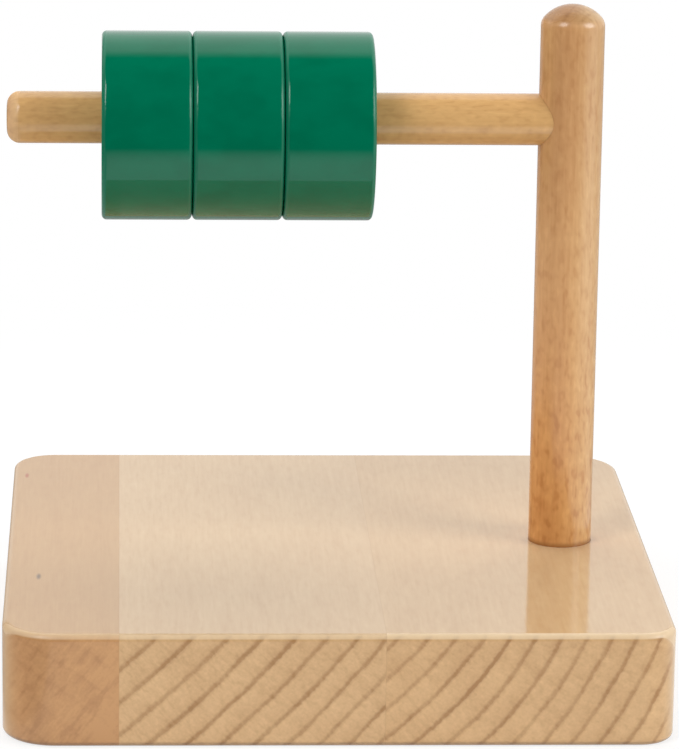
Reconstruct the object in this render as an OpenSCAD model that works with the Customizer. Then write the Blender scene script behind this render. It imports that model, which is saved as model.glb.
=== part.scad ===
// Disc stacking toy: three discs on a level dowel, held by an upright post on a square board.
// Millimetres. +X points from the dowel's free end to the post, +Y to the back, +Z up.
// The origin is the middle of the board's underside.

/* [Board] */
// Width of the board, along the dowel
board_w = 150; // [120:1:200]
// Depth of the board, front to back
board_d = 150; // [100:1:200]
// Thickness of the board
board_t = 26; // [22:0.5:40]
// Width of the left stave, seen from the front
stave_left_w = 26; // [20:0.5:40]
// Width of the middle stave
stave_middle_w = 59; // [40:0.5:65]
// Rounding of the board's top and bottom edges
board_edge_r = 1.5; // [0.5:0.1:4]
// Corner radius at the front left, seen from above
corner_front_left_r = 12; // [5:0.5:18]
// Corner radius at the front right
corner_front_right_r = 8; // [5:0.5:18]
// Corner radius at the back left
corner_back_left_r = 10; // [5:0.5:18]
// Corner radius at the back right
corner_back_right_r = 13; // [5:0.5:18]

/* [Post] */
// Diameter of the upright post
post_d = 14.8; // [14:0.1:20]
// Height of the post above the board
post_rise = 128; // [110:1:160]
// Distance from the board's right edge to the post's axis
post_inset = 20; // [16:0.5:30]
// Depth of the post's foot in the board
post_foot = 18; // [10:0.5:20]
// Bevel round the bottom of the post's foot
post_foot_bevel = 1; // [0.2:0.1:2]
// Height of the domed top
dome_h = 4; // [1:0.1:6]
// Rounding where the dome meets the post's wall
dome_edge_r = 3; // [0.2:0.1:3.4]

/* [Dowel] */
// Diameter of the level dowel
dowel_d = 12; // [8:0.1:12.5]
// Distance from the post's top down to the dowel's axis
dowel_drop = 27; // [20:0.5:40]
// How far the dowel's tip stops short of the board's left edge
dowel_setback = 0; // [0:0.5:15]
// Diameter of the tenon turned on the dowel's glued end
tenon_d = 8; // [5:0.1:9]
// Depth of the tenon in the post
tenon_len = 10; // [6:0.1:11]
// Bevel round the tenon's end
tenon_bevel = 0.8; // [0.2:0.1:1.5]
// Rounding of the dowel's free tip
dowel_tip_r = 3.1; // [0.5:0.1:3.9]

/* [Discs] */
// Diameter of a disc
disc_d = 43.5; // [36:0.5:60]
// Width of a disc along the dowel
disc_w = 20.7; // [12:0.1:21]
// Diameter of a disc's bore
disc_bore_d = 16; // [13:0.1:20]
// Rounding of a disc's rims
disc_edge_r = 1.2; // [0.4:0.1:3]
// Rounding of the bore's mouths
bore_edge_r = 0.8; // [0.2:0.1:1.5]
// Free length of dowel between the post and the inner disc
disc_stop_gap = 38.5; // [30:0.1:50]

/* [Fits] */
// Space in the glue joints, measured on the diameter
glue_fit = 0.1; // [0.05:0.05:0.3]
// Space between the faces of neighbouring discs
disc_face_gap = 0.1; // [0.05:0.05:0.5]
// Space left between the top of a bore and the dowel that it hangs on
disc_seat_gap = 0.2; // [0.1:0.05:0.4]

/* [Colours] */
// Lacquered board
board_colour = [0.86, 0.76, 0.65];
// Lacquered rods
rod_colour = [0.72, 0.55, 0.39];
// Green gloss paint
disc_colour = [0.0, 0.42, 0.29];

/* [Hidden] */
$fn = 96;
// How far a cut runs past the face it opens in, and an overlap past the face it joins
cut = 1;

board_left = -board_w / 2;
board_right = board_w / 2;
joint_left = board_left + stave_left_w;
joint_right = joint_left + stave_middle_w;
stave_right_w = board_right - joint_right;

post_x = board_right - post_inset;
post_r = post_d / 2;
post_top = board_t + post_rise;
post_bottom = board_t - post_foot;

// The dome is a cap of a sphere, joined to the wall by a small tangent arc
dome_r = (post_r * post_r + dome_h * dome_h) / (2 * dome_h);
dome_centre = post_top - dome_r;
dome_arc_x = post_r - dome_edge_r;
dome_arc_z = dome_centre + sqrt(pow(dome_r - dome_edge_r, 2) - pow(dome_arc_x, 2));
dome_touch_x = dome_arc_x * dome_r / (dome_r - dome_edge_r);

dowel_r = dowel_d / 2;
dowel_z = post_top - dowel_drop;
dowel_tip = board_left + dowel_setback;
dowel_len = post_x - dowel_tip;
tenon_r = tenon_d / 2;
tenon_end = post_x - post_r + tenon_len;

disc_r = disc_d / 2;
disc_bore_r = disc_bore_d / 2;
// The discs hang on the dowel, so their axis is lower than its axis
disc_z = dowel_z - (disc_bore_r - dowel_r - disc_seat_gap);
disc_pitch = disc_w + disc_face_gap;
// Left face of the disc in place 0, 1 or 2, counted from the post
function disc_left(place) = post_x - post_r - disc_stop_gap - disc_w - place * disc_pitch;

// Half section through the board: flat at x = 0, rounded at x = reach
module board_section(reach) {
    square([reach - board_edge_r, board_t]);
    translate([0, board_edge_r]) square([reach, board_t - 2 * board_edge_r]);
    for (z = [board_edge_r, board_t - board_edge_r])
        translate([reach - board_edge_r, z]) circle(board_edge_r);
}

// Back half of an outer stave: its glue face lies at x = 0 and its outer side at x = width
module half_stave(width, corner_r) {
    straight = board_d / 2 - corner_r;
    rotate([90, 0, 90])
        linear_extrude(width - corner_r) board_section(board_d / 2);
    translate([0, straight, 0]) rotate([90, 0, 0])
        linear_extrude(straight) board_section(width);
    translate([width - corner_r, straight, 0])
        rotate_extrude(angle = 90) board_section(corner_r);
}

module outer_stave(width, front_r, back_r) {
    half_stave(width, back_r);
    mirror([0, 1, 0]) half_stave(width, front_r);
}

module board_stave_left() {
    color(board_colour)
        translate([joint_left, 0, 0]) mirror([1, 0, 0])
            outer_stave(stave_left_w, corner_front_left_r, corner_back_left_r);
}

module board_stave_middle() {
    color(board_colour)
        translate([joint_left, 0, 0]) {
            rotate([90, 0, 90])
                linear_extrude(stave_middle_w) board_section(board_d / 2);
            mirror([0, 1, 0]) rotate([90, 0, 90])
                linear_extrude(stave_middle_w) board_section(board_d / 2);
        }
}

module board_stave_right() {
    color(board_colour)
        difference() {
            translate([joint_right, 0, 0])
                outer_stave(stave_right_w, corner_front_right_r, corner_back_right_r);
            translate([post_x, 0, post_bottom])
                cylinder(d = post_d + glue_fit, h = post_foot + cut);
        }
}

// Half section of the post, from its bevelled foot to its domed top
module post_section() {
    polygon([
        [0, post_bottom], [post_r - post_foot_bevel, post_bottom],
        [post_r, post_bottom + post_foot_bevel], [post_r, dome_arc_z], [0, dome_arc_z]
    ]);
    translate([dome_arc_x, dome_arc_z]) circle(dome_edge_r);
    intersection() {
        translate([0, dome_centre]) circle(dome_r);
        translate([0, dome_arc_z - dome_edge_r]) square([dome_touch_x, dome_h + 2 * dome_edge_r]);
    }
}

module post() {
    color(rod_colour)
        difference() {
            translate([post_x, 0, 0]) rotate_extrude() post_section();
            translate([post_x - post_r - cut, 0, dowel_z]) rotate([0, 90, 0])
                cylinder(d = tenon_d + glue_fit, h = tenon_len + cut);
        }
}

// Half section of the dowel, with its rounded tip at y = 0
module dowel_section() {
    square([dowel_r - dowel_tip_r, dowel_len]);
    translate([0, dowel_tip_r]) square([dowel_r, dowel_len - dowel_tip_r]);
    intersection() {
        translate([dowel_r - dowel_tip_r, dowel_tip_r]) circle(dowel_tip_r);
        square([dowel_r, dowel_tip_r + cut]);
    }
}

// Half section of the tenon, which starts well inside the dowel and ends at y = 0
module tenon_section() {
    polygon([
        [0, 0], [tenon_r - tenon_bevel, 0], [tenon_r, tenon_bevel],
        [tenon_r, tenon_len + tenon_d], [0, tenon_len + tenon_d]
    ]);
}

// The dowel's shoulder is coped to the post's wall, and its tenon goes into the post
module dowel() {
    color(rod_colour) {
        difference() {
            translate([dowel_tip, 0, dowel_z]) rotate([0, 90, 0])
                rotate_extrude() dowel_section();
            translate([post_x, 0, dowel_z - dowel_r - cut])
                cylinder(d = post_d + glue_fit, h = dowel_d + 2 * cut);
        }
        translate([tenon_end, 0, dowel_z]) rotate([0, -90, 0])
            rotate_extrude() tenon_section();
    }
}

// Half section of a disc, between its bore and its rim
module disc_section() {
    middle_r = (disc_bore_r + disc_r) / 2;
    translate([disc_bore_r + bore_edge_r, 0])
        square([disc_r - disc_edge_r - disc_bore_r - bore_edge_r, disc_w]);
    translate([disc_bore_r, bore_edge_r])
        square([middle_r - disc_bore_r, disc_w - 2 * bore_edge_r]);
    translate([middle_r, disc_edge_r])
        square([disc_r - middle_r, disc_w - 2 * disc_edge_r]);
    for (y = [bore_edge_r, disc_w - bore_edge_r])
        translate([disc_bore_r + bore_edge_r, y]) circle(bore_edge_r);
    for (y = [disc_edge_r, disc_w - disc_edge_r])
        translate([disc_r - disc_edge_r, y]) circle(disc_edge_r);
}

module disc(place) {
    color(disc_colour)
        translate([disc_left(place), 0, disc_z]) rotate([0, 90, 0])
            rotate_extrude() disc_section();
}

module disc_outer() { disc(2); }
module disc_middle() { disc(1); }
module disc_inner() { disc(0); }

board_stave_left();
board_stave_middle();
board_stave_right();
post();
dowel();
disc_outer();
disc_middle();
disc_inner();
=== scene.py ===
"""Disc stacking toy: the finish of its wood and paint, the studio light and the camera.

Metres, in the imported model's own frame: +X from the dowel's free end to the post, +Y to the back,
+Z up, with the origin under the middle of the board. Wood and paint patterns are in millimetres.
"""
import math

import bpy
from mathutils import Matrix, Vector


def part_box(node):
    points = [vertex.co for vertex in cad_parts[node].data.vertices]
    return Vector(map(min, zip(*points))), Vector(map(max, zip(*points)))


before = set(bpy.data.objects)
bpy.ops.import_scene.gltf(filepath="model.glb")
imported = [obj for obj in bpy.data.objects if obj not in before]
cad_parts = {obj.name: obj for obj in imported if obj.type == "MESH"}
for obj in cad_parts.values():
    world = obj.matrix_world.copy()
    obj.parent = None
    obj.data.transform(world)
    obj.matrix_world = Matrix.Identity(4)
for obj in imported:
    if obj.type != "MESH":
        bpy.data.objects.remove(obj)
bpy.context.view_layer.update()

MM = 0.001

# Camera. The focal length was fitted in pixels of the picture. The sensor is in millimetres, the clip
# distances are in metres and the angles in radians.
PICTURE_LONG_SIDE = 749
FOCAL_PIXELS = 4650.5
SENSOR_WIDTH = 36.0
CLIP_NEAR = 0.05
CLIP_FAR = 50.0
CAMERA_PLACE = Vector((-49.574, -1052.007, 337.858)) * MM
CAMERA_PITCH = 0.25259
CAMERA_YAW = 0.04936
CAMERA_ROLL = 0.01444

# Studio. Lengths are in metres and angles in degrees. Directions are seen from the toy: azimuth 0 is
# towards the front, positive to the right.
STUDIO_CENTRE = Vector((0.0, 0.0, 0.07))
FILL_LEVEL = 0.20
WHITE_LEVEL = 1.0
FLOOR_HALF = 6.0
FLOOR_BOUNCE = 0.85
# Near the toy the background floor is part lit white, which keeps the shadow, and part plain white.
# The lit level is how bright the lamps make a white floor.
FLOOR_SHADOW_SHARE = 0.3
FLOOR_LIT_LEVEL = 0.9
FLOOR_SHADOW_NEAR = 0.14
FLOOR_SHADOW_FAR = 0.34
SOFTBOXES = {
    # name: azimuth, elevation, distance, width, height, light level that it adds, seen in reflections
    "key_right": (64, 30, 1.0, 0.50, 0.56, 0.51, True),
    "fill_left": (-43, 45, 1.0, 0.34, 0.50, 0.38, True),
    "wall_left": (-105, 15, 1.0, 0.60, 0.80, 0.26, False),
    "overhead": (180, 62, 1.0, 0.90, 0.60, 0.49, False),
}
# The unlit side of the studio, around and above the camera, as gloss mirrors it. It is a cloth on the
# floor and a round shell, and the shell has this many steps from side to side.
DARK_RADIUS = 1.35
DARK_STEPS = 64
CLOTH_GAP = 0.3 * MM
# The cloth fades in with the distance from the toy, and is half dark from the board's left side outwards
DARK_FLOOR_FROM = 0.17
DARK_FLOOR_FULL = 0.46
DARK_LEFT_FROM = 0.074
DARK_LEFT_FULL = 0.090
DARK_LEFT_SHARE = 0.5
# Behind the toy the cloth is about half dark: a painted shadow of the toy on the floor, as gloss mirrors it
BACK_FROM = 0.06
BACK_FULL = 0.10
BACK_SHADOW_SHARE = 0.55
# The shell goes from the floor in front over the camera and ends just past the zenith
DARK_TOP_FULL = 98.0
DARK_TOP_END = 113.0
# Both end early on the right and reach far round the toy on the left
DARK_RIGHT_FULL = 32.0
DARK_RIGHT_END = 68.0
DARK_LEFT_ROUND_FULL = 130.0
DARK_LEFT_ROUND_END = 160.0
# Low on the left the shell also goes on behind the toy
SHELL_LOW_END = 0.6 * DARK_RADIUS
SHELL_LOW_FULL = 0.3 * DARK_RADIUS
SHELL_LEFT_FULL = 0.3 * DARK_RADIUS


def linear(red, green, blue):
    """A colour written as 8-bit display values, as the shaders take it."""
    def channel(value):
        share = value / 255
        return share / 12.92 if share <= 0.04045 else ((share + 0.055) / 1.055) ** 2.4
    return (channel(red), channel(green), channel(blue), 1.0)


class Graph:
    """Short calls for a node tree. Values are numbers or the sockets of other nodes."""

    def __init__(self, owner):
        owner.use_nodes = True
        self.nodes = owner.node_tree.nodes
        self.links = owner.node_tree.links
        self.nodes.clear()

    def put(self, socket, value):
        if isinstance(value, bpy.types.NodeSocket):
            self.links.new(value, socket)
        else:
            socket.default_value = value

    def add(self, kind, inputs=None, **settings):
        node = self.nodes.new(kind)
        for name, value in settings.items():
            setattr(node, name, value)
        for name, value in (inputs or {}).items():
            self.put(node.inputs[name], value)
        return node

    def math(self, operation, first, second=0.0, third=0.0, clamp=False):
        inputs = {0: first, 1: second, 2: third}
        return self.add("ShaderNodeMath", inputs, operation=operation, use_clamp=clamp).outputs[0]

    def times(self, first, second):
        return self.math("MULTIPLY", first, second)

    def plus(self, first, second):
        return self.math("ADD", first, second)

    def minus(self, first, second):
        return self.math("SUBTRACT", first, second)

    def times_plus(self, first, second, third):
        return self.math("MULTIPLY_ADD", first, second, third)

    def absolute(self, value):
        return self.math("ABSOLUTE", value)

    def step(self, value, low, high):
        """0 below low and 1 above high, or the other way round where low is the larger."""
        inputs = {"Value": value, "From Min": low, "From Max": high}
        return self.add("ShaderNodeMapRange", inputs, interpolation_type="SMOOTHSTEP").outputs["Result"]

    def hump(self, value, rise, fall):
        """1 between two steps, and 0 outside them."""
        return self.times(self.step(value, *rise), self.step(value, *fall))

    def blend(self, share, first, second):
        """A number between two numbers."""
        return self.times_plus(share, self.minus(second, first), first)

    def vector(self, x, y, z):
        return self.add("ShaderNodeCombineXYZ", {"X": x, "Y": y, "Z": z}).outputs[0]

    def split(self, vector):
        node = self.add("ShaderNodeSeparateXYZ", {0: vector})
        return node.outputs["X"], node.outputs["Y"], node.outputs["Z"]

    def length(self, *parts):
        total = self.times(parts[0], parts[0])
        for part in parts[1:]:
            total = self.times_plus(part, part, total)
        return self.math("SQRT", total)

    def noise(self, place, cells, seed=0.0, detail=2.0, roughness=0.5, distortion=0.0):
        """Noise from 0 to 1 with so many cells per millimetre along each part of the place."""
        across = self.times(place[0], cells[0])
        up = self.times(place[1], cells[1])
        along = self.times_plus(place[2], cells[2], seed)
        inputs = {
            "Vector": self.vector(across, up, along), "Scale": 1.0, "Detail": detail,
            "Roughness": roughness, "Distortion": distortion,
        }
        return self.add("ShaderNodeTexNoise", inputs, noise_dimensions="3D").outputs["Fac"]

    def ramp(self, value, stops):
        """Greys along a line: stops are (place, level)."""
        node = self.add("ShaderNodeValToRGB", {"Fac": value})
        node.color_ramp.interpolation = "EASE"
        elements = node.color_ramp.elements
        while len(elements) < len(stops):
            elements.new(0.5)
        for element, (place, level) in zip(elements, stops):
            element.position = place
            element.color = (level, level, level, 1.0)
        return node.outputs["Color"]

    def mix(self, share, first, second, blend="MIX"):
        node = self.add("ShaderNodeMix", data_type="RGBA", blend_type=blend)
        self.put(node.inputs["Factor"], share)
        colours = [s for s in node.inputs if s.type == "RGBA"]
        self.put(colours[0], first)
        self.put(colours[1], second)
        return [s for s in node.outputs if s.type == "RGBA"][0]

    def coat(self, colour, roughness, ior, relief, strength, distance):
        """A smooth finish over a colour. A relief of 1 is this distance high, times its strength."""
        bump = self.add("ShaderNodeBump", {"Height": relief, "Strength": strength})
        bump.inputs["Distance"].default_value = distance
        shader = self.add("ShaderNodeBsdfPrincipled", {"Base Color": colour, "Roughness": roughness})
        shader.inputs["IOR"].default_value = ior
        self.put(shader.inputs["Normal"], bump.outputs["Normal"])
        self.add("ShaderNodeOutputMaterial", {"Surface": shader.outputs[0]})


def place_in_mm(graph):
    """The point's place in the frame at rest, in millimetres, and its normal."""
    source = graph.add("ShaderNodeTexCoord")
    scale = graph.add("ShaderNodeVectorMath", {0: source.outputs["Object"]}, operation="SCALE")
    scale.inputs["Scale"].default_value = 1 / MM
    return graph.split(scale.outputs[0]), graph.split(source.outputs["Normal"])


# Which parts of a point lie across the grain, up from it and along it, for a grain along each axis
ALONG = {"X": (1, 2, 0), "Y": (0, 2, 1), "Z": (0, 1, 2)}

# Wood. It is beech: fine dark ring lines, and rays that show as short flecks on the long faces. Each
# piece has its own log:
# - grain, seed: the axis that it runs along, and where its noises start
# - heart, first_ring, ring_step, ring_shrink: where the log's heart lay, across and up, the radius of one
#   ring line, the step to the next and how the steps shrink outwards
# - lean: how far the heart moves across and up for each millimetre along the grain
# - waviness: how far the rings stray, in millimetres
# - fleck: the width, depth and length of a ray
# - depths: how much each pattern darkens, in pairs for the long faces and the end grain
# - drift: how much the end grain darkens for each millimetre across and up
# - rubbed_highlit_edge, corner_rub_and_highlight_reach: how pale the rubbed edges are, partly wear and
#   partly a painted highlight, and how far down the corners are rubbed and painted pale
# - roughness, edge_roughness, ior: the lacquer's roughness on faces and on rubbed edges, and its index
WOODS = {
    "board_stave_left": {
        "grain": "Y", "seed": 3.0,
        "heart": (-168.0, -140.0), "first_ring": 186.0, "ring_step": 5.4, "ring_shrink": 0.0,
        "lean": (0.010, 0.0), "waviness": 3.2, "fleck": (1.2, 5.0, 6.0),
        "long_tone": linear(210, 170, 121), "long_dark": linear(180, 130, 82),
        "end_tone": linear(214, 161, 107), "end_dark": linear(165, 112, 68),
        "ring_depth": (0.06, 0.14), "ray_depth": (0.06, 0.24), "streak_depth": 0.26,
        "spot_depth": (0.0, 0.0), "blotch_depth": (0.10, 0.20), "drift": (-0.016, 0.006),
        "rubbed_highlit_edge": 0.40, "corner_rub_and_highlight_reach": 5.3,
        "roughness": 0.06, "edge_roughness": 0.36, "ior": 1.55,
    },
    "board_stave_middle": {
        "grain": "Y", "seed": 11.0,
        "heart": (-200.4, 186.5), "first_ring": 226.7, "ring_step": 5.9, "ring_shrink": 0.013,
        "lean": (0.012, 0.0), "waviness": 0.9, "fleck": (0.8, 2.4, 6.0),
        "long_tone": linear(223, 192, 151), "long_dark": linear(196, 155, 112),
        "end_tone": linear(237, 196, 144), "end_dark": linear(176, 130, 80),
        "ring_depth": (0.08, 0.76), "ray_depth": (0.12, 0.14), "streak_depth": 0.36,
        "spot_depth": (0.0, 0.0), "blotch_depth": (0.10, 0.14), "drift": (0.0, 0.008),
        "rubbed_highlit_edge": 0.50, "corner_rub_and_highlight_reach": 0.0,
        "roughness": 0.06, "edge_roughness": 0.36, "ior": 1.55,
    },
    "board_stave_right": {
        "grain": "Y", "seed": 23.0,
        "heart": (-41.3, 71.2), "first_ring": 71.6, "ring_step": 5.1, "ring_shrink": 0.0,
        "lean": (-0.008, 0.0), "waviness": 1.1, "fleck": (0.8, 2.4, 6.0),
        "long_tone": linear(221, 188, 145), "long_dark": linear(195, 153, 109),
        "end_tone": linear(236, 194, 141), "end_dark": linear(178, 131, 81),
        "ring_depth": (0.08, 0.74), "ray_depth": (0.12, 0.14), "streak_depth": 0.42,
        "spot_depth": (0.0, 0.0), "blotch_depth": (0.12, 0.14), "drift": (0.0, 0.008),
        "rubbed_highlit_edge": 0.62, "corner_rub_and_highlight_reach": 11.5,
        "roughness": 0.06, "edge_roughness": 0.36, "ior": 1.55,
    },
    "post": {
        "grain": "Z", "seed": 41.0,
        "heart": (30.0, 22.0), "first_ring": 20.0, "ring_step": 3.4, "ring_shrink": 0.0,
        "lean": (0.020, 0.045), "waviness": 2.2, "fleck": (0.55, 2.0, 3.0),
        "long_tone": linear(235, 182, 125), "long_dark": linear(188, 124, 70),
        "end_tone": linear(184, 135, 86), "end_dark": linear(142, 92, 48),
        "ring_depth": (0.10, 0.25), "ray_depth": (0.18, 0.20), "streak_depth": 0.42,
        "spot_depth": (0.06, 0.10), "blotch_depth": (0.10, 0.20), "drift": (0.0, 0.0),
        "rubbed_highlit_edge": 0.03,
        "roughness": 0.18, "edge_roughness": 0.24, "ior": 1.62,
    },
    "dowel": {
        "grain": "X", "seed": 53.0,
        "heart": (-24.0, 150.0), "first_ring": 24.0, "ring_step": 3.2, "ring_shrink": 0.0,
        "lean": (0.02, -0.015), "waviness": 1.8, "fleck": (0.75, 2.6, 2.4),
        "long_tone": linear(230, 183, 122), "long_dark": linear(186, 134, 80),
        "end_tone": linear(220, 170, 114), "end_dark": linear(170, 118, 70),
        "ring_depth": (0.10, 0.25), "ray_depth": (0.22, 0.20), "streak_depth": 0.36,
        "spot_depth": (0.06, 0.10), "blotch_depth": (0.12, 0.20), "drift": (0.0, 0.0),
        "rubbed_highlit_edge": 0.15,
        "roughness": 0.10, "edge_roughness": 0.62, "ior": 1.58,
    },
}
BOARD_STAVES = ("board_stave_left", "board_stave_middle", "board_stave_right")

# Noises of the wood, in cells per millimetre across, up and along the grain. The fade of a ring line
# has its cells per millimetre around the heart, per ring, and per millimetre along the grain.
BEND_CELLS = (1 / 22, 1 / 22, 1 / 110)
JITTER_CELLS = (0.8, 0.8, 1 / 12)
FADE_CELLS = (1 / 9, 1.7, 1 / 40)
FIBRE_CELLS = (2.2, 2.2, 0.035)
STREAK_CELLS = (1 / 0.9, 1 / 0.9, 1 / 13)
PORE_CELLS = (1.5, 1.5, 0.05)
SPOT_CELLS = (1 / 1.1, 1 / 2.0, 1 / 3.4)
BLOTCH_CELLS = (1 / 8, 1 / 8, 1 / 26)
CLOUD_CELLS = (0.12, 0.12, 0.12)
STREAK_SEED = 7
SPOT_SEED = 3

# Rings: how dark the wood is over one year, how much the lines differ and fade, and how far they
# jitter, in millimetres. The count starts high enough to stay positive.
RING_YEAR = ((0.0, 0.30), (0.07, 0.04), (0.45, 0.08), (0.72, 0.20), (0.88, 0.95), (0.94, 0.90), (1.0, 0.30))
RING_SPREAD = 0.32
RING_FADE = 1.2
RING_FADE_LEAST = 0.4
RING_JITTER = 0.7
RING_COUNT_FROM = 40.0

# Levels of the noises where rays and spots begin and are full, and how strong the patterns are
RAY_DARK = (0.48, 0.74)
RAY_PALE = (0.46, 0.24)
RAY_PALE_SHARE = 0.7
SPOT_DARK = (0.46, 0.78)
FIBRE_DEPTH = 0.16
PORE_DEPTH = 0.40
BLOTCH_GAIN = 3.0
BASE_SHARE = 0.20
# How squarely a face has to lie across the grain to show end grain
END_GRAIN = (0.30, 0.85)

# The lacquer: how uneven its roughness is, and its relief from fibres, broad clouds and rays
CLOUD_ROUGHNESS = 0.05
FIBRE_RELIEF = 0.5
CLOUD_RELIEF = 3.0
RAY_RELIEF = -0.3
LACQUER_RELIEF_SHARE = 0.25
RELIEF_HEIGHT = 0.02 * MM

# Rubbed edges, duller and paler. The paleness is partly wear and partly a painted highlight along the
# edges. Each pair is two parts of the normal, where the wear begins and where it is full. The board's side
# edges are less rubbed than its front and back ones, and at its corners the wear and the painted highlight
# reach further down as they turn to the sides.
RUBBED_AND_HIGHLIT_EDGE_TONE = linear(244, 220, 184)
EDGE_RISE = (0.15, 0.5)
EDGE_FALL = (0.99, 0.85)
ROD_END_RISE = (0.0, 0.4)
ROD_END_FALL = (0.98, 0.8)
SIDE_EDGES = 0.4
SIDE_EDGE_TURN = (0.05, 0.8)
CORNER_POWER = 1.25
CORNER_TURN = (0.05, 0.42)
CORNER_SOFT = 0.5
# The reach in millimetres from which the corner's wear shows, and at which it is full
CORNER_REACH = (0.1, 0.6)

# The post's lacquer is more amber and its flecks are stronger towards its foot, between these heights,
# and its right side is painted paler and yellower, a painted sheen from the light on that side, between
# these places along X. Towards its head it is a little darker, and less so on its left.
AMBER = linear(252, 236, 208)
AMBER_FROM = 100.0
AMBER_FULL = 30.0
AMBER_FLECKS = 1.1
HEAD_TONE = linear(238, 232, 228)
HEAD_FROM = 78.0
HEAD_FULL = 148.0
HEAD_SIDE = (47.0, 53.0)
HEAD_LEFT_SHARE = 0.4
RIGHT_SHEEN_TONE = linear(244, 214, 160)
RIGHT_SHEEN_SHARE = 0.5
RIGHT_SIDE_AMBER = 0.5
RIGHT_SIDE_FROM = 52.0
RIGHT_SIDE_FULL = 61.0

# Marks: painted contact shade on the board's lower edge, glue lines, two pin knots in the left stave's top
# and a dark line round the post's foot, partly glue and partly painted contact shade. A knot is its place
# along X and Y, half width, how much longer than wide it is, and its tone.
LOWER_EDGE_SHADE_TONE = linear(112, 84, 64)
LOWER_EDGE_SHADE_SHARE = 0.35
LOWER_EDGE_SHADE_RISE = (-0.1, -0.5)
LOWER_EDGE_SHADE_FALL = (-0.99, -0.9)
GLUE_LINE_HALF = 0.16
GLUE_SHARE = 0.12
GLUE_TONE = linear(150, 92, 48)
PIN_KNOTS = (
    (-67.4, -30.6, 0.46, 4.2, linear(132, 108, 82)),
    (-71.7, 54.6, 0.42, 4.2, linear(186, 112, 74)),
)
KNOT_OUTSIDE = 1.7
KNOT_CORE = 0.3
KNOT_FACE = (0.5, 0.9)
FOOT_LINE = 1.5
FOOT_SHARE = 0.8
FOOT_TONE = linear(160, 100, 50)


def ring_pattern(graph, log, wood):
    """Darkness of the ring lines from 0 to 1, the ring radius and the arc around the heart."""
    u, v, w = log
    seed = wood["seed"]
    bend = graph.minus(graph.noise(log, BEND_CELLS, seed, detail=3.0), 0.5)
    bend = graph.times(bend, wood["waviness"] * 2)
    jitter = graph.times(graph.minus(graph.noise(log, JITTER_CELLS, seed), 0.5), RING_JITTER)
    across = graph.times_plus(w, wood["lean"][0], graph.minus(u, wood["heart"][0]))
    up = graph.times_plus(w, wood["lean"][1], graph.minus(v, wood["heart"][1]))
    radius = graph.plus(graph.plus(graph.length(across, up), bend), jitter)
    steps = graph.times(graph.minus(radius, wood["first_ring"]), 1 / wood["ring_step"])
    count = graph.times(steps, graph.times_plus(steps, wood["ring_shrink"], 1.0))
    count = graph.plus(count, RING_COUNT_FROM)
    line = graph.ramp(graph.math("FRACT", count), RING_YEAR)
    pick = graph.add("ShaderNodeTexWhiteNoise", {"W": graph.math("FLOOR", count)}, noise_dimensions="1D")
    strength = graph.times_plus(pick.outputs["Value"], RING_SPREAD, 1 - RING_SPREAD)
    arc = graph.times(graph.math("ARCTAN2", up, across), wood["first_ring"])
    fade = graph.times_plus(graph.noise((arc, count, w), FADE_CELLS), RING_FADE, RING_FADE_LEAST)
    return graph.times(line, graph.times(strength, fade)), radius, arc


def ray_pattern(graph, place, wood):
    """Rays, thin sheets that run outwards: lines on the end grain, flecks on the long faces. It gives
    the dark ones, and the dark ones less the pale ones."""
    cells = [1 / size for size in wood["fleck"]]
    rays = graph.noise(place, cells, wood["seed"], detail=1.0)
    dark_rays = graph.step(rays, *RAY_DARK)
    pale_rays = graph.step(rays, *RAY_PALE)
    return dark_rays, graph.minus(dark_rays, graph.times(pale_rays, RAY_PALE_SHARE))


def end_drift(graph, name, log):
    """How the end grain darkens away from the middle of the piece."""
    wood = WOODS[name]
    first, second = ALONG[wood["grain"]][:2]
    low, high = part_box(name)
    middle = (low + high) / 2 / MM
    across = graph.times(graph.minus(log[0], middle[first]), wood["drift"][0])
    up = graph.times(graph.minus(log[1], middle[second]), wood["drift"][1])
    return graph.plus(across, up)


def wood_darkness(graph, name, log, end_share, amber):
    """How dark the wood is from 0 to 1, with its fibres and dark rays for the lacquer's relief."""
    wood = WOODS[name]
    seed = wood["seed"]

    def depth(pair):
        return graph.blend(end_share, *pair)

    line, radius, arc = ring_pattern(graph, log, wood)
    dark_rays, rays = ray_pattern(graph, (arc, radius, log[2]), wood)
    rays = graph.times(rays, graph.times_plus(amber, AMBER_FLECKS, 1.0))

    # Fibres and streaks run along the grain, and pores speckle the cut ends
    fibres = graph.noise(log, FIBRE_CELLS, seed, detail=4.0, roughness=0.6)
    streaks = graph.noise(log, STREAK_CELLS, seed + STREAK_SEED, distortion=0.3)
    pores = graph.noise(log, PORE_CELLS, seed, roughness=0.6)
    fibre_detail = graph.times(graph.minus(fibres, 0.5), FIBRE_DEPTH)
    streak_detail = graph.times(graph.minus(streaks, 0.5), wood["streak_depth"])
    long_detail = graph.plus(fibre_detail, streak_detail)
    end_detail = graph.times_plus(graph.minus(pores, 0.5), PORE_DEPTH, end_drift(graph, name, log))

    # Small soft dark spots, and broad blotches of a darker, redder tone
    spots = graph.noise(log, SPOT_CELLS, seed + SPOT_SEED, detail=1.0, distortion=0.4)
    spots = graph.step(spots, *SPOT_DARK)
    blotches = graph.noise(log, BLOTCH_CELLS, seed, detail=3.0, distortion=0.5)
    blotches = graph.minus(blotches, 0.5)

    dark = graph.blend(end_share, long_detail, end_detail)
    dark = graph.times_plus(line, depth(wood["ring_depth"]), dark)
    dark = graph.times_plus(rays, depth(wood["ray_depth"]), dark)
    dark = graph.times_plus(spots, depth(wood["spot_depth"]), dark)
    dark = graph.times_plus(blotches, graph.times(depth(wood["blotch_depth"]), BLOTCH_GAIN), dark)
    return graph.math("ADD", dark, BASE_SHARE, clamp=True), fibres, dark_rays


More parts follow.
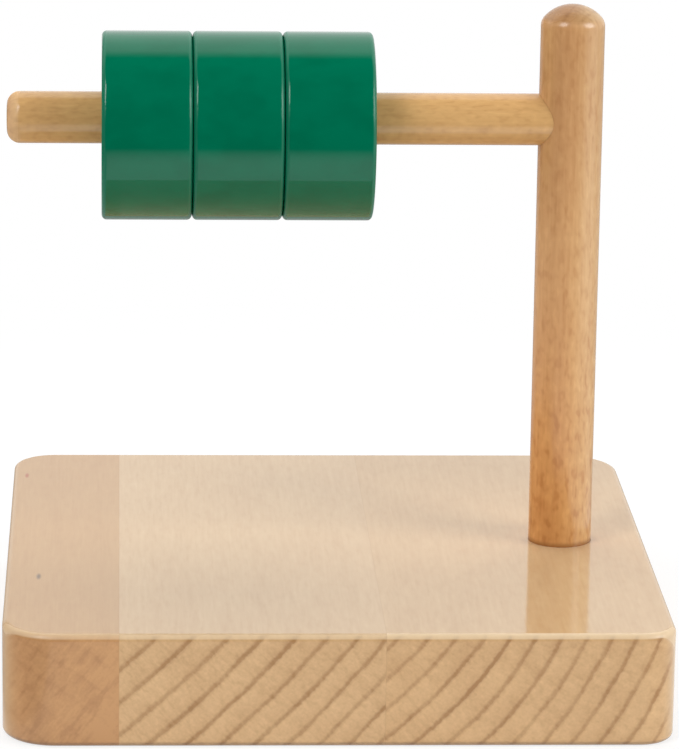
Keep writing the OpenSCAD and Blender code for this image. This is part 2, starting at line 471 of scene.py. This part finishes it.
def lacquer(graph, wood, place, colour, edge, fibres, dark_rays):
    """A coat that levels the grain: smooth, a little uneven, and duller where edges are rubbed."""
    clouds = graph.noise(place, CLOUD_CELLS)
    roughness = graph.times_plus(clouds, CLOUD_ROUGHNESS, wood["roughness"])
    duller = graph.times(edge, wood["edge_roughness"] - wood["roughness"])
    roughness = graph.plus(roughness, duller)
    relief = graph.plus(graph.times(clouds, CLOUD_RELIEF), graph.times(dark_rays, RAY_RELIEF))
    relief = graph.plus(graph.times(fibres, FIBRE_RELIEF), relief)
    graph.coat(colour, roughness, wood["ior"], relief, LACQUER_RELIEF_SHARE, RELIEF_HEIGHT)


def wood_material(name):
    wood = WOODS[name]
    material = bpy.data.materials.new(name + "_lacquered")
    graph = Graph(material)
    place, normal = place_in_mm(graph)
    first, second, grain = ALONG[wood["grain"]]
    log = (place[first], place[second], place[grain])
    end_share = graph.step(graph.absolute(normal[grain]), *END_GRAIN)
    amber = graph.step(place[2], AMBER_FROM, AMBER_FULL) if name == "post" else 0.0
    darkness, fibres, dark_rays = wood_darkness(graph, name, log, end_share, amber)
    tone = graph.mix(end_share, wood["long_tone"], wood["end_tone"])
    dark = graph.mix(end_share, wood["long_dark"], wood["end_dark"])
    if name == "post":
        tone, dark, amber = post_tones(graph, place, end_share, tone, dark, amber)
    colour = graph.mix(darkness, tone, dark)
    edge = edge_share(graph, wood, place, normal)
    # Rubbed edges are paler: partly wear and partly a painted highlight
    colour = graph.mix(graph.times(edge, wood["rubbed_highlit_edge"]), colour, RUBBED_AND_HIGHLIT_EDGE_TONE)
    colour = graph.mix(amber, colour, AMBER, blend="MULTIPLY")
    for mark, mark_tone in marks(graph, name, place, normal):
        colour = graph.mix(mark, colour, mark_tone)
    lacquer(graph, wood, place, colour, edge, fibres, dark_rays)
    return material


def post_tones(graph, place, end_share, tone, dark, amber):
    """The post's tones with the painted sheen on its right side and its darker head, and its amber with
    less on that side.
    """
    x, z = place[0], place[2]
    # The right side is painted paler and yellower: a painted sheen
    right_side = graph.step(x, RIGHT_SIDE_FROM, RIGHT_SIDE_FULL)
    tone = graph.mix(graph.times(right_side, RIGHT_SHEEN_SHARE), tone, RIGHT_SHEEN_TONE)
    amber = graph.times(amber, graph.blend(right_side, 1.0, RIGHT_SIDE_AMBER))
    head = graph.times(graph.step(z, HEAD_FROM, HEAD_FULL), graph.minus(1.0, end_share))
    head = graph.times(head, graph.blend(graph.step(x, *HEAD_SIDE), HEAD_LEFT_SHARE, 1.0))
    tone = graph.mix(head, tone, HEAD_TONE, blend="MULTIPLY")
    dark = graph.mix(head, dark, HEAD_TONE, blend="MULTIPLY")
    return tone, dark, amber


def edge_share(graph, wood, place, normal):
    """1 where handling rubs and a highlight is painted pale, 0 on the faces: a stave's upper edges and
    corners, a rod's rounded ends.
    """
    grain = wood["grain"]
    if grain != "Y":
        end = graph.absolute(normal[ALONG[grain][2]])
        return graph.hump(end, ROD_END_RISE, ROD_END_FALL)
    across = graph.absolute(normal[1])
    edge = graph.hump(normal[2], EDGE_RISE, EDGE_FALL)
    edge = graph.times(edge, graph.blend(graph.step(across, *SIDE_EDGE_TURN), SIDE_EDGES, 1.0))
    turn = graph.math("POWER", graph.minus(1.0, across), CORNER_POWER)
    reach = graph.times(graph.times(turn, graph.step(across, *CORNER_TURN)), wood["corner_rub_and_highlight_reach"])
    below = graph.minus(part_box(BOARD_STAVES[0])[1].z / MM, place[2])
    corner = graph.step(below, reach, graph.times(reach, CORNER_SOFT))
    corner = graph.times(corner, graph.step(reach, *CORNER_REACH))
    return graph.math("MAXIMUM", edge, corner)


def marks(graph, name, place, normal):
    """Shares and tones of what one piece has: painted shade under its edge, glue lines, pin knots, and a
    foot line that is partly glue and partly painted shade.
    """
    found = []
    if name in BOARD_STAVES:
        # The down-facing lower edge is darker: painted contact shade
        under = graph.hump(normal[2], LOWER_EDGE_SHADE_RISE, LOWER_EDGE_SHADE_FALL)
        found.append((graph.times(under, LOWER_EDGE_SHADE_SHARE), LOWER_EDGE_SHADE_TONE))
        low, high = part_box(name)
        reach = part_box(BOARD_STAVES[-1])[1].x
        for side in (low.x, high.x):
            if abs(side) < reach - MM:
                off = graph.absolute(graph.minus(place[0], side / MM))
                glue = graph.step(off, GLUE_LINE_HALF, 0.0)
                found.append((graph.times(glue, GLUE_SHARE), GLUE_TONE))
    if name == BOARD_STAVES[0]:
        for x, y, half, longer, tone in PIN_KNOTS:
            along = graph.times(graph.minus(place[1], y), 1 / longer)
            off = graph.length(graph.minus(place[0], x), along)
            knot = graph.step(off, half * KNOT_OUTSIDE, half * KNOT_CORE)
            found.append((graph.times(knot, graph.step(normal[2], *KNOT_FACE)), tone))
    if name == "post":
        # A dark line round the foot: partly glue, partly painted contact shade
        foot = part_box(BOARD_STAVES[-1])[1].z / MM
        line = graph.step(place[2], foot + FOOT_LINE, foot)
        found.append((graph.times(line, FOOT_SHARE), FOOT_TONE))
    return found


# Paint: green gloss, dipped. A broad faint swell moves the tone between two greens, and the paint is
# thin on the rims. Rims and faces are duller, because the discs rub on each other.
PAINT_GREEN = linear(0, 113, 81)
PAINT_DEEP = linear(0, 107, 76)
PAINT_THIN = linear(14, 120, 90)
PAINT_IOR = 1.45
SWELL_CELLS = (0.10, 0.16, 0.16)
SWELL_DEEP = (0.35, 0.7)
FINE_CELLS = (0.9, 0.9, 0.9)
RIM_RISE = (0.1, 0.4)
RIM_FALL = (0.98, 0.8)
RIM_THIN = 0.2
RIM_THIN_SPREAD = 0.5
FACE_RISE = (0.9, 0.99)
PAINT_ROUGHNESS = 0.03
PAINT_ROUGHNESS_SPREAD = 0.03
RIM_RUB = 0.26
FACE_RUB = 0.30
FINE_RELIEF = 0.06
PAINT_RELIEF_SHARE = 1.0


def paint_material():
    material = bpy.data.materials.new("green_gloss_paint")
    graph = Graph(material)
    place, normal = place_in_mm(graph)
    swell = graph.noise(place, SWELL_CELLS)
    fine = graph.noise(place, FINE_CELLS, detail=3.0)
    sideways = graph.absolute(normal[0])
    rim = graph.hump(sideways, RIM_RISE, RIM_FALL)
    face = graph.step(sideways, *FACE_RISE)
    thin = graph.times(rim, graph.times_plus(fine, RIM_THIN_SPREAD, RIM_THIN))
    colour = graph.mix(graph.step(swell, *SWELL_DEEP), PAINT_GREEN, PAINT_DEEP)
    colour = graph.mix(thin, colour, PAINT_THIN)
    rubbed = graph.plus(graph.times(rim, RIM_RUB), graph.times(face, FACE_RUB))
    roughness = graph.plus(graph.times_plus(fine, PAINT_ROUGHNESS_SPREAD, PAINT_ROUGHNESS), rubbed)
    relief = graph.times_plus(fine, FINE_RELIEF, swell)
    graph.coat(colour, roughness, PAINT_IOR, relief, PAINT_RELIEF_SHARE, RELIEF_HEIGHT)
    return material


def finish_nodes():
    """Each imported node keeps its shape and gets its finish."""
    paint = paint_material()
    for name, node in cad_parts.items():
        material = wood_material(name) if name in WOODS else paint
        for holder in node.material_slots:
            holder.link = "OBJECT"
            holder.material = material


def mesh_object(name, points, faces, material):
    mesh = bpy.data.meshes.new(name)
    mesh.from_pydata(points, [], faces)
    mesh.materials.append(material)
    made = bpy.data.objects.new(name, mesh)
    bpy.context.scene.collection.objects.link(made)
    return made


def level_sheet(name, half, material):
    corners = [(-half, -half, 0), (half, -half, 0), (half, half, 0), (-half, half, 0)]
    return mesh_object(name, corners, [(0, 1, 2, 3)], material)


def seen_as_background(graph):
    """1 for rays that show the background: straight to the camera, mirrored or through glass."""
    path = graph.add("ShaderNodeLightPath").outputs
    seen = graph.plus(path["Is Camera Ray"], path["Is Glossy Ray"])
    return graph.math("ADD", seen, path["Is Transmission Ray"], clamp=True)


def shown_only_in_gloss(thing):
    thing.visible_camera = False
    thing.visible_diffuse = False
    thing.visible_shadow = False
    thing.visible_transmission = False


def make_floor():
    """A white sheet. Seen as the background it is plain white but for the toy's faint shadow."""
    material = bpy.data.materials.new("studio_white")
    graph = Graph(material)
    x, y = graph.split(graph.add("ShaderNodeTexCoord").outputs["Object"])[:2]
    away = graph.step(graph.length(x, y), FLOOR_SHADOW_NEAR, FLOOR_SHADOW_FAR)
    bounce = graph.add("ShaderNodeBsdfDiffuse", {"Color": (FLOOR_BOUNCE,) * 3 + (1.0,)})
    catcher = graph.add("ShaderNodeBsdfDiffuse", {"Color": (FLOOR_SHADOW_SHARE,) * 3 + (1.0,)})
    glow_level = WHITE_LEVEL - FLOOR_SHADOW_SHARE * FLOOR_LIT_LEVEL
    glow = graph.add("ShaderNodeEmission", {"Strength": glow_level})
    near = graph.add("ShaderNodeAddShader", {0: catcher.outputs[0], 1: glow.outputs[0]})
    plain = graph.add("ShaderNodeEmission", {"Strength": WHITE_LEVEL})
    white = graph.add("ShaderNodeMixShader", {0: away, 1: near.outputs[0], 2: plain.outputs[0]})
    seen = seen_as_background(graph)
    shown = graph.add("ShaderNodeMixShader", {0: seen, 1: bounce.outputs[0], 2: white.outputs[0]})
    graph.add("ShaderNodeOutputMaterial", {"Surface": shown.outputs[0]})
    level_sheet("studio_floor", FLOOR_HALF, material)


def dark_material(name, shares):
    """A matt black that thins out to nothing, with the studio's white behind it."""
    material = bpy.data.materials.new(name)
    graph = Graph(material)
    place = graph.split(graph.add("ShaderNodeTexCoord").outputs["Object"])
    clear = graph.add("ShaderNodeBsdfTransparent")
    black = graph.add("ShaderNodeEmission", {"Strength": 0.0})
    parts = {0: shares(graph, *place), 1: clear.outputs[0], 2: black.outputs[0]}
    both = graph.add("ShaderNodeMixShader", parts)
    graph.add("ShaderNodeOutputMaterial", {"Surface": both.outputs[0]})
    return material


def side_share(graph, x, y):
    """1 in front of the toy, falling to 0 past its right side, and further round on its left."""
    azimuth = graph.math("ARCTAN2", x, graph.times(y, -1.0))
    right = graph.step(azimuth, math.radians(DARK_RIGHT_END), math.radians(DARK_RIGHT_FULL))
    left = graph.step(azimuth, -math.radians(DARK_LEFT_ROUND_END), -math.radians(DARK_LEFT_ROUND_FULL))
    return graph.times(left, right)


def cloth_share(graph, x, y, z):
    away = graph.step(graph.length(x, y), DARK_FLOOR_FROM, DARK_FLOOR_FULL)
    left = graph.times(graph.step(x, -DARK_LEFT_FROM, -DARK_LEFT_FULL), DARK_LEFT_SHARE)
    dark = graph.times(graph.math("MAXIMUM", away, left), side_share(graph, x, y))
    # Behind the toy the cloth is a painted shadow of the toy
    back = graph.times(graph.step(y, BACK_FROM, BACK_FULL), BACK_SHADOW_SHARE)
    return graph.math("MAXIMUM", dark, back)


def shell_share(graph, x, y, z):
    over = graph.math("ARCTAN2", z, graph.times(y, -1.0))
    under_top = graph.step(over, math.radians(DARK_TOP_END), math.radians(DARK_TOP_FULL))
    low = graph.step(z, SHELL_LOW_END, SHELL_LOW_FULL)
    behind = graph.times(low, graph.step(x, 0.0, -SHELL_LEFT_FULL))
    reach = graph.math("MAXIMUM", under_top, behind)
    return graph.times(reach, side_share(graph, x, graph.minus(y, graph.absolute(z))))


def make_dark_side():
    """A dark cloth on the floor and a dark shell round the camera's side, seen only by mirrored rays."""
    cloth_dark = dark_material("studio_dark_cloth", cloth_share)
    cloth = level_sheet("studio_dark_cloth", DARK_RADIUS, cloth_dark)
    cloth.location.z = CLOTH_GAP
    shell_points = []
    rows = DARK_STEPS // 2
    for row in range(rows + 1):
        over = math.pi * row / rows
        for index in range(DARK_STEPS + 1):
            side = math.radians(90.0) * (2 * index / DARK_STEPS - 1)
            flat = DARK_RADIUS * math.cos(side)
            shell_points.append((
                DARK_RADIUS * math.sin(side), -flat * math.cos(over), flat * math.sin(over),
            ))
    wide = DARK_STEPS + 1
    cells = [
        (row * wide + i, row * wide + i + 1, (row + 1) * wide + i + 1, (row + 1) * wide + i)
        for row in range(rows) for i in range(DARK_STEPS)
    ]
    shell_dark = dark_material("studio_dark_shell", shell_share)
    shell = mesh_object("studio_dark_shell", shell_points, cells, shell_dark)
    for thing in (cloth, shell):
        shown_only_in_gloss(thing)


def make_softboxes():
    for name, (azimuth, elevation, distance, width, height, level, mirrored) in SOFTBOXES.items():
        turn = math.radians(azimuth)
        rise = math.radians(elevation)
        out = Vector((
            math.sin(turn) * math.cos(rise), -math.cos(turn) * math.cos(rise), math.sin(rise),
        ))
        light = bpy.data.lights.new(name, "AREA")
        light.shape = "RECTANGLE"
        light.size = width
        light.size_y = height
        # The level is what a white card facing the light would show
        radiance = level * math.pi * distance ** 2 / (width * height)
        light.energy = radiance * math.pi * width * height
        lamp = bpy.data.objects.new(name, light)
        lamp.location = STUDIO_CENTRE + out * distance
        lamp.rotation_mode = "QUATERNION"
        lamp.rotation_quaternion = out.to_track_quat("Z", "Y")
        lamp.visible_camera = False
        lamp.visible_glossy = mirrored
        bpy.context.scene.collection.objects.link(lamp)


def make_world():
    """Even fill light, and plain white wherever the background is seen."""
    world = bpy.data.worlds.new("studio")
    bpy.context.scene.world = world
    graph = Graph(world)
    white_colour = (1.0, 1.0, 1.0, 1.0)
    fill = graph.add("ShaderNodeBackground", {"Color": white_colour, "Strength": FILL_LEVEL})
    white = graph.add("ShaderNodeBackground", {"Color": white_colour, "Strength": WHITE_LEVEL})
    parts = {0: seen_as_background(graph), 1: fill.outputs[0], 2: white.outputs[0]}
    both = graph.add("ShaderNodeMixShader", parts)
    graph.add("ShaderNodeOutputWorld", {"Surface": both.outputs[0]})


def make_camera():
    forward = Vector((
        math.sin(CAMERA_YAW) * math.cos(CAMERA_PITCH),
        math.cos(CAMERA_YAW) * math.cos(CAMERA_PITCH),
        -math.sin(CAMERA_PITCH),
    ))
    level_right = Vector((math.cos(CAMERA_YAW), -math.sin(CAMERA_YAW), 0.0))
    level_up = level_right.cross(forward)
    right = math.cos(CAMERA_ROLL) * level_right + math.sin(CAMERA_ROLL) * level_up
    up = math.cos(CAMERA_ROLL) * level_up - math.sin(CAMERA_ROLL) * level_right
    lens = bpy.data.cameras.new("camera")
    lens.sensor_width = SENSOR_WIDTH
    lens.lens = FOCAL_PIXELS / PICTURE_LONG_SIDE * SENSOR_WIDTH
    lens.clip_start = CLIP_NEAR
    lens.clip_end = CLIP_FAR
    camera = bpy.data.objects.new("camera", lens)
    turn = Matrix((right, up, -forward)).transposed()
    camera.matrix_world = Matrix.Translation(CAMERA_PLACE) @ turn.to_4x4()
    bpy.context.scene.collection.objects.link(camera)
    bpy.context.scene.camera = camera


make_camera()
finish_nodes()
make_floor()
make_dark_side()
make_softboxes()
make_world()
bpy.context.scene.view_settings.view_transform = "Standard"
